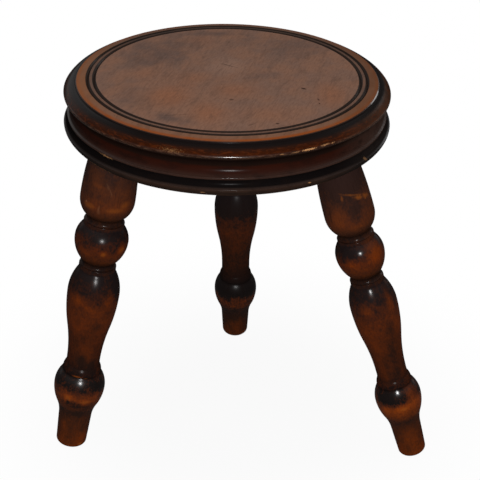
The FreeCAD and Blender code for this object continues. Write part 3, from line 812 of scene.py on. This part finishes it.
class LegFinish(Finish):
    """Dark polish, worn to red-brown on the swellings and thick and black on their tops and in the hollows."""

    def __init__(self, side, plan):
        super().__init__(bpy.data.materials.new(f"{side}_leg_wood"))
        self.plan = plan
        place = self.coordinates(plan.tenon_end, plan.turn)
        faced = self.stretch(place, (1.0, 1.0, 1.0), plan.front)
        outward, sideways, self.station = self.split(faced)
        self.around = sideways.angle_over(outward) * -LEG_ROLL_RADIUS
        self.rolled = self.unrolled(self.around, self.station)
        self.rubs = self.cloud(place, (13.0, 13.0, 16.0), 4.0, distortion=0.3)
        self.smears = self.cloud(place, (3.6, 3.6, 4.6), 4.0, roughness=0.65, distortion=0.4)
        self.specks = self.cloud(place, (1.5, 1.5, 2.2), 2.0)
        self.fibres = self.cloud(place, (0.9, 0.9, 16.0), 3.0)

    def polished(self):
        """Colour of the polish where it is whole."""
        plan = self.plan
        return self.ramp(self.station, (
            (plan.shoulder, shade(44, 30, 27)),
            (plan.vase, shade(46, 27, 21)),
            (plan.upper_neck, shade(32, 20, 16)),
            (plan.ball_top, shade(28, 21, 21)),
            (plan.ball, shade(30, 21, 19)),
            (plan.lower_neck, shade(30, 18, 14)),
            (plan.baluster_top, shade(28, 21, 21)),
            (plan.baluster, shade(30, 20, 18)),
            (plan.baluster + 22.0, shade(46, 24, 15)),
            (plan.bead - 6.0, shade(38, 22, 16)),
            (plan.quirk, shade(24, 17, 16)),
            (plan.bulb - 6.0, shade(21, 15, 14)),
            (plan.bulb + 20.0, shade(40, 24, 18)),
            (plan.end, shade(48, 26, 14))))

    def rubbed(self):
        """Colour of the wood where the polish is rubbed away."""
        plan = self.plan
        return self.ramp(self.station, (
            (plan.shoulder, shade(76, 44, 27)),
            (plan.vase, shade(92, 43, 18)),
            (plan.upper_neck, shade(62, 33, 16)),
            (plan.ball, shade(104, 43, 9)),
            (plan.lower_neck, shade(60, 31, 13)),
            (plan.baluster, shade(98, 42, 11)),
            (plan.baluster + 25.0, shade(92, 39, 12)),
            (plan.bead, shade(80, 35, 13)),
            (plan.bulb, shade(124, 53, 8)),
            (plan.bulb + 12.0, shade(112, 49, 10)),
            (plan.bulb + 22.0, shade(80, 36, 12)),
            (plan.end, shade(106, 44, 8))))

    def worn(self):
        """Share of the polish that is rubbed away down the leg, with uneven limits; kept low just under the seat,
        partly as painted shade.
        """
        plan = self.plan
        return self.profile(self.station + (self.rubs - 0.5) * 5.0, (
            # Little wear just under the seat keeps the top of the vase dark: thick polish there, and painted shade from
            # the seat.
            (plan.shoulder, 0.0),
            (plan.vase - 20.0, 0.15),
            (plan.vase - 3.0, 0.45),
            (plan.vase + 9.0, 0.4),
            (plan.upper_neck, 0.1),
            (plan.upper_ring + 1.5, 0.25),
            (plan.ball_top, 0.0),
            (plan.ball - 7.0, 0.05),
            (plan.ball + 7.0, 0.6),
            (plan.ball + 14.0, 0.65),
            (plan.lower_neck, 0.1),
            (plan.lower_ring + 2.0, 0.25),
            (plan.baluster_top, 0.0),
            (plan.baluster - 9.0, 0.05),
            (plan.baluster + 7.0, 0.5),
            (plan.baluster + 18.0, 0.65),
            (plan.baluster + 45.0, 0.4),
            (plan.bead - 10.0, 0.35),
            (plan.bead, 0.1),
            (plan.quirk, 0.0),
            (plan.bulb - 6.0, 0.0),
            (plan.bulb + 3.0, 0.55),
            (plan.bulb + 9.0, 0.65),
            (plan.bulb + 20.0, 0.2),
            (plan.bulb + 32.0, 0.3),
            (plan.end - 12.0, 0.45),
            (plan.end, 0.8)))

    def coat(self, ball_gloss, baluster_gloss, bulb_gloss):
        """Polish, thickest on the tops of the swellings."""
        plan = self.plan
        return self.profile(self.station, (
            (plan.shoulder, 0.1),
            (plan.vase - 12.0, 0.3),
            (plan.vase + 4.0, 0.25),
            (plan.upper_neck, 0.12),
            (plan.ball_top, 0.25),
            (plan.ball - 9.0, ball_gloss),
            (plan.ball, ball_gloss),
            (plan.ball + 9.0, 0.3),
            (plan.lower_neck, 0.12),
            (plan.baluster_top, 0.25),
            (plan.baluster - 14.0, baluster_gloss),
            (plan.baluster, baluster_gloss),
            (plan.baluster + 12.0, 0.3),
            (plan.bead, 0.1),
            (plan.quirk, 0.1),
            (plan.quirk + 3.0, bulb_gloss),
            (plan.bulb, bulb_gloss),
            (plan.bulb + 10.0, 0.4),
            (plan.end, 0.25)))

    def finished(self, wear_and_shade_level, side_wear, gloss, coat_roughness, marks, scratches):
        """Leg's material: wear all over (its level is painted shade on the back leg) and at both sides, gloss, marks,
        scratches.
        """
        plan = self.plan
        sides = self.step((self.around * self.around) ** 0.5, 6.0, 17.0)
        wear = self.worn() + sides * side_wear + wear_and_shade_level
        for noise, strength in ((self.rubs, 0.9), (self.smears, 0.9), (self.specks, 0.8)):
            wear = wear + (noise - 0.5) * strength
        for centre, half_sizes, slant, strength in marks:
            wear = wear + self.spot(self.rolled, centre, half_sizes, slant, 1.0) * strength
        # Darker line in the quirk.
        dark_quirk = self.band(self.station, plan.quirk - 0.4, plan.quirk + 1.0, 0.7)
        tenon = self.step(self.station, plan.shoulder - 1.0, plan.shoulder, 1.0, 0.0)
        colour = self.layers(
            self.polished(),
            (wear.at_least(0.0).at_most(1.0), self.rubbed()),
            (self.step(self.fibres, 0.5, 0.75, 0.0, 0.35), shade(26, 14, 9)),
            (dark_quirk * 0.45, shade(18, 12, 11)),
            (tenon, shade(120, 84, 56)))
        for centre, half_sizes, slant, strength, tint in scratches:
            scratch = self.spot(self.rolled, centre, half_sizes, slant, 0.8, (self.smears - 0.5) * 1.6)
            colour = self.mix(scratch * strength, colour, tint)
        roughness = self.step(self.rubs, 0.3, 0.8, 0.4, 0.5)
        relief = self.bump(self.fibres * 0.02 + self.smears * 0.03)
        return self.polish(colour, roughness, relief, self.coat(**gloss), coat_roughness)


# A mark on a leg: its place across from the middle of the front, its station, its half sizes, its slant, and what
# it adds to the wear or takes from it. A scratch is written the same way, with its strength and its colour.
PALE = shade(150, 100, 68)
ORANGE = shade(146, 78, 22)
LEFT_MARKS = (
    ((0.0, 60.0), (34.0, 28.0), 0.0, 0.3),
    ((-10.0, 50.0), (8.0, 12.0), 0.0, 0.35),
    ((-6.6, 57.3), (9.0, 3.0), 6.0, 0.4),
    ((1.0, 45.0), (8.0, 16.0), 0.0, -0.3),
    ((-12.0, 75.5), (7.0, 7.0), 0.0, 0.3),
    ((4.8, 75.5), (12.0, 7.0), 0.0, 0.3),
    ((13.0, 72.5), (7.0, 8.0), 0.0, 0.3),
    ((-4.0, 66.0), (10.0, 5.0), 0.0, -0.4),
    ((2.7, 115.0), (4.0, 5.0), 0.0, 0.4),
    ((16.0, 112.0), (6.0, 8.0), 0.0, 0.5),
    ((-11.0, 117.0), (9.0, 6.0), 0.0, 0.4),
    ((-11.2, 162.0), (9.0, 9.0), 0.0, 0.5),
    ((13.4, 158.0), (7.0, 13.0), 0.0, 0.5),
    ((2.0, 168.0), (14.0, 8.0), 20.0, 0.3),
    ((6.0, 184.0), (9.0, 7.0), 30.0, -0.4),
    ((-8.0, 192.0), (8.0, 10.0), 0.0, 0.2),
    ((1.3, 211.0), (11.0, 10.0), 0.0, 0.4),
    ((-1.4, 224.0), (6.0, 9.0), 0.0, -0.6),
    ((10.0, 228.0), (7.0, 12.0), 0.0, -0.4),
    ((-3.6, 238.4), (7.0, 1.6), 0.0, 0.9),
    ((-6.5, 258.5), (7.0, 6.0), 0.0, 0.5),
    ((5.0, 261.0), (9.0, 6.0), 0.0, 0.5),
    ((-6.8, 262.5), (1.8, 4.0), 0.0, -0.7),
    ((0.0, 264.0), (26.0, 9.0), 0.0, -0.55),
    ((2.0, 277.0), (12.0, 7.0), 0.0, -0.4),
    ((-10.5, 291.0), (7.0, 8.0), 0.0, 0.4),
    ((14.0, 303.0), (8.0, 9.0), 0.0, 0.5),
)
LEFT_SCRATCHES = (
    ((-0.9, 56.4), (0.6, 4.5), -20.0, 0.1, PALE),
    ((0.8, 58.5), (0.5, 5.5), -24.0, 0.08, PALE),
    ((1.9, 61.5), (0.6, 4.0), -20.0, 0.1, PALE),
    ((-14.6, 73.5), (1.0, 1.6), 0.0, 0.3, PALE),
    ((-4.7, 77.0), (1.4, 5.0), 0.0, 0.15, PALE),
    ((-12.0, 76.0), (6.0, 3.5), 0.0, 0.25, ORANGE),
    ((6.0, 76.0), (8.0, 3.0), 0.0, 0.22, ORANGE),
    ((12.5, 71.5), (5.0, 4.0), 0.0, 0.22, ORANGE),
    ((2.7, 115.5), (2.4, 2.6), 0.0, 0.3, ORANGE),
    ((16.5, 113.0), (3.5, 3.5), 0.0, 0.3, ORANGE),
    ((-3.6, 238.4), (5.0, 0.9), 0.0, 0.3, ORANGE),
    ((5.0, 239.5), (3.0, 0.7), 0.0, 0.4, ORANGE),
    ((-7.0, 258.0), (3.4, 3.4), 0.0, 0.3, ORANGE),
    ((6.0, 260.5), (6.0, 2.4), 0.0, 0.3, ORANGE),
    ((12.0, 312.0), (5.0, 1.6), 0.0, 0.4, ORANGE),
)
RIGHT_MARKS = (
    ((0.0, 46.0), (34.0, 24.0), 0.0, -0.5),
    ((4.0, 74.0), (9.0, 13.0), 0.0, -0.4),
    ((-9.0, 77.0), (8.0, 13.0), 0.0, 0.6),
    ((2.0, 87.0), (16.0, 6.0), 0.0, 0.4),
    ((12.0, 113.0), (12.0, 15.0), 0.0, 0.9),
    ((-13.0, 112.0), (10.0, 12.0), 0.0, -0.3),
    ((0.0, 122.0), (9.0, 7.0), 0.0, 0.2),
    ((-9.0, 119.0), (10.0, 6.0), 0.0, 0.4),
    ((13.5, 163.0), (6.0, 14.0), 0.0, 0.7),
    ((-7.0, 164.0), (11.0, 10.0), 0.0, 0.5),
    ((8.0, 186.0), (6.0, 12.0), -6.0, -0.5),
    ((-9.0, 205.0), (8.0, 26.0), 0.0, 0.3),
    ((7.0, 214.0), (9.0, 36.0), 0.0, -0.35),
    ((-9.0, 233.0), (7.0, 14.0), 0.0, 0.4),
    ((12.0, 257.0), (10.0, 13.0), 0.0, 0.45),
    ((-13.0, 256.0), (10.0, 9.0), 0.0, -0.4),
    ((0.6, 266.0), (12.0, 6.0), 0.0, 0.5),
    ((0.0, 268.0), (26.0, 9.0), 0.0, 0.3),
    ((-14.0, 267.5), (7.0, 6.0), 0.0, 0.4),
    ((4.0, 284.0), (9.0, 6.0), 0.0, -0.2),
    ((0.5, 303.0), (18.0, 18.0), 0.0, 0.55),
)
RIGHT_SCRATCHES = (
    ((6.0, 59.6), (12.0, 1.3), 22.0, 0.28, ORANGE),
    ((9.0, 63.2), (5.5, 2.4), 24.0, 0.45, ORANGE),
    ((16.0, 65.5), (5.0, 3.0), 24.0, 0.4, ORANGE),
    ((-2.8, 60.0), (1.2, 3.4), 0.0, 0.28, ORANGE),
    ((1.0, 267.0), (6.0, 2.2), 0.0, 0.4, ORANGE),
)
BACK_MARKS = (
    ((-6.0, 70.0), (4.0, 16.0), 0.0, 0.5),
    ((-3.0, 130.0), (5.0, 6.0), 0.0, 0.4),
    ((0.0, 300.0), (20.0, 12.0), 0.0, 0.4),
)
LEG_LOOKS = {
    "left": {
        "wear_and_shade_level": 0.0, "side_wear": 0.0, "coat_roughness": 0.24, "marks": LEFT_MARKS, "scratches": LEFT_SCRATCHES,
        "gloss": {"ball_gloss": 0.26, "baluster_gloss": 0.22, "bulb_gloss": 0.75}},
    "right": {
        "wear_and_shade_level": 0.0, "side_wear": 0.1, "coat_roughness": 0.19, "marks": RIGHT_MARKS, "scratches": RIGHT_SCRATCHES,
        "gloss": {"ball_gloss": 0.32, "baluster_gloss": 0.42, "bulb_gloss": 0.7}},
    "back": {
        # Painted shade: the back leg's lower level of wear darkens it all over.
        "wear_and_shade_level": -0.28, "side_wear": 0.0, "coat_roughness": 0.26, "marks": BACK_MARKS, "scratches": (),
        "gloss": {"ball_gloss": 0.5, "baluster_gloss": 0.4, "bulb_gloss": 0.6}},
}


def background_rays(finish):
    """Masks of the rays that show the background: seen directly or through something, and mirrored in polish."""
    kinds = ("Is Camera Ray", "Is Glossy Ray", "Is Transmission Ray")
    seen, mirrored, through = [finish.node("ShaderNodeLightPath", {}, {}, kind) for kind in kinds]
    return seen.at_least(through), mirrored


def pale_floor():
    """Round floor that keeps a faint shadow under the stool, and is dim where the polish mirrors it."""
    paper = Finish(bpy.data.materials.new("floor_paper"))
    seen, mirrored = background_rays(paper)
    matt = paper.node("ShaderNodeBsdfDiffuse", {}, {"Color": grey(0.5)})
    white = paper.mix(mirrored, grey(1.0), grey(0.07))
    glow = paper.node("ShaderNodeEmission", {}, {"Color": white, "Strength": 1.0})
    distance = paper.length(paper.node("ShaderNodeTexCoord", {}, {}, "Object"))
    share = mirrored.at_least(seen * paper.step(distance, 0.06, 0.32, 0.93, 1.0))
    surface = paper.node("ShaderNodeMixShader", {}, {0: share, 1: matt, 2: glow})
    paper.node("ShaderNodeOutputMaterial", {}, {"Surface": surface})
    mesh = bmesh.new()
    bmesh.ops.create_circle(
        mesh, cap_ends=True, radius=FLOOR_RADIUS, segments=FLOOR_STEPS, matrix=Matrix.Translation(FLOOR_CENTRE))
    floor = placed(mesh, "floor", paper.owner)


def white_surround():
    """Surround that is white to the eye and dim as a light; the polish mirrors its top, its back and a window."""
    world = bpy.data.worlds.new("surround")
    bpy.context.scene.world = world
    sky = Finish(world)
    direction = sky.node("ShaderNodeTexCoord", {}, {}, "Generated")
    towards_right, towards_back, upward = sky.split(direction)
    behind = sky.step(towards_back, 0.2, 0.8, 0.08, 0.6) * sky.step(upward, -0.02, 0.1)
    overhead = sky.step(upward, 0.2, 0.9, 0.08, 0.5)
    window = sky.band(towards_right, 0.47, 0.6, 0.02) * sky.band(upward, 0.27, 0.43, 0.02)
    window = window * sky.step(towards_back, 0.5, 0.7, 0.0, 3.5)
    seen, mirrored = background_rays(sky)
    mirror = behind.at_least(overhead).at_least(window)
    strength = seen + mirrored * mirror + (1 - seen.at_least(mirrored)) * 0.25
    glow = sky.node("ShaderNodeBackground", {}, {"Color": grey(1.0), "Strength": strength})
    sky.node("ShaderNodeOutputWorld", {}, {"Surface": glow})


def soft_lamp(name, place, size, power):
    """Square lamp that points at the middle of the stool."""
    lamp = bpy.data.lights.new(name, "AREA")
    lamp.size = size
    lamp.energy = power
    light = bpy.data.objects.new(name, lamp)
    light.location = place
    light.rotation_euler = (STOOL_MIDDLE - place).to_track_quat("-Z", "Y").to_euler()
    bpy.context.scene.collection.objects.link(light)
    return light


def studio():
    """Floor and surround, a small lamp by the camera, a large one overhead, and the camera itself."""
    pale_floor()
    white_surround()
    soft_lamp("camera_lamp", eye + Vector((0.04, -0.03, -0.14)), size=0.08, power=6.0)
    top_lamp = soft_lamp("top_lamp", Vector((0.0, -0.25, 1.5)), size=1.0, power=7.5)
    top_lamp.visible_glossy = False

    lens = bpy.data.cameras.new("camera")
    lens.sensor_width = 36.0
    lens.lens = 90.0
    lens.clip_start = 0.01
    camera = bpy.data.objects.new("camera", lens)
    yaw = Matrix.Rotation(math.radians(CAMERA_YAW), 4, "Z")
    tilt = Matrix.Rotation(math.radians(90 - CAMERA_TILT_DOWN), 4, "X")
    roll = Matrix.Rotation(math.radians(CAMERA_ROLL), 4, "Z")
    camera.matrix_world = Matrix.Translation(eye) @ yaw @ tilt @ roll
    bpy.context.scene.collection.objects.link(camera)
    bpy.context.scene.camera = camera
    bpy.context.scene.view_settings.view_transform = "Standard"


seat_mesh = turned_seat()
bore_sockets(seat_mesh)
bmesh.ops.translate(seat_mesh, vec=seat_foot, verts=seat_mesh.verts[:])
finished_piece(seat_mesh, "turned_seat", "seat", SeatFinish().finished())
for side, plan in leg_plans.items():
    leg_wood = LegFinish(side, plan).finished(**LEG_LOOKS[side])
    finished_piece(turned_leg(plan), f"{side}_turned_leg", f"{side}_leg", leg_wood)
studio()
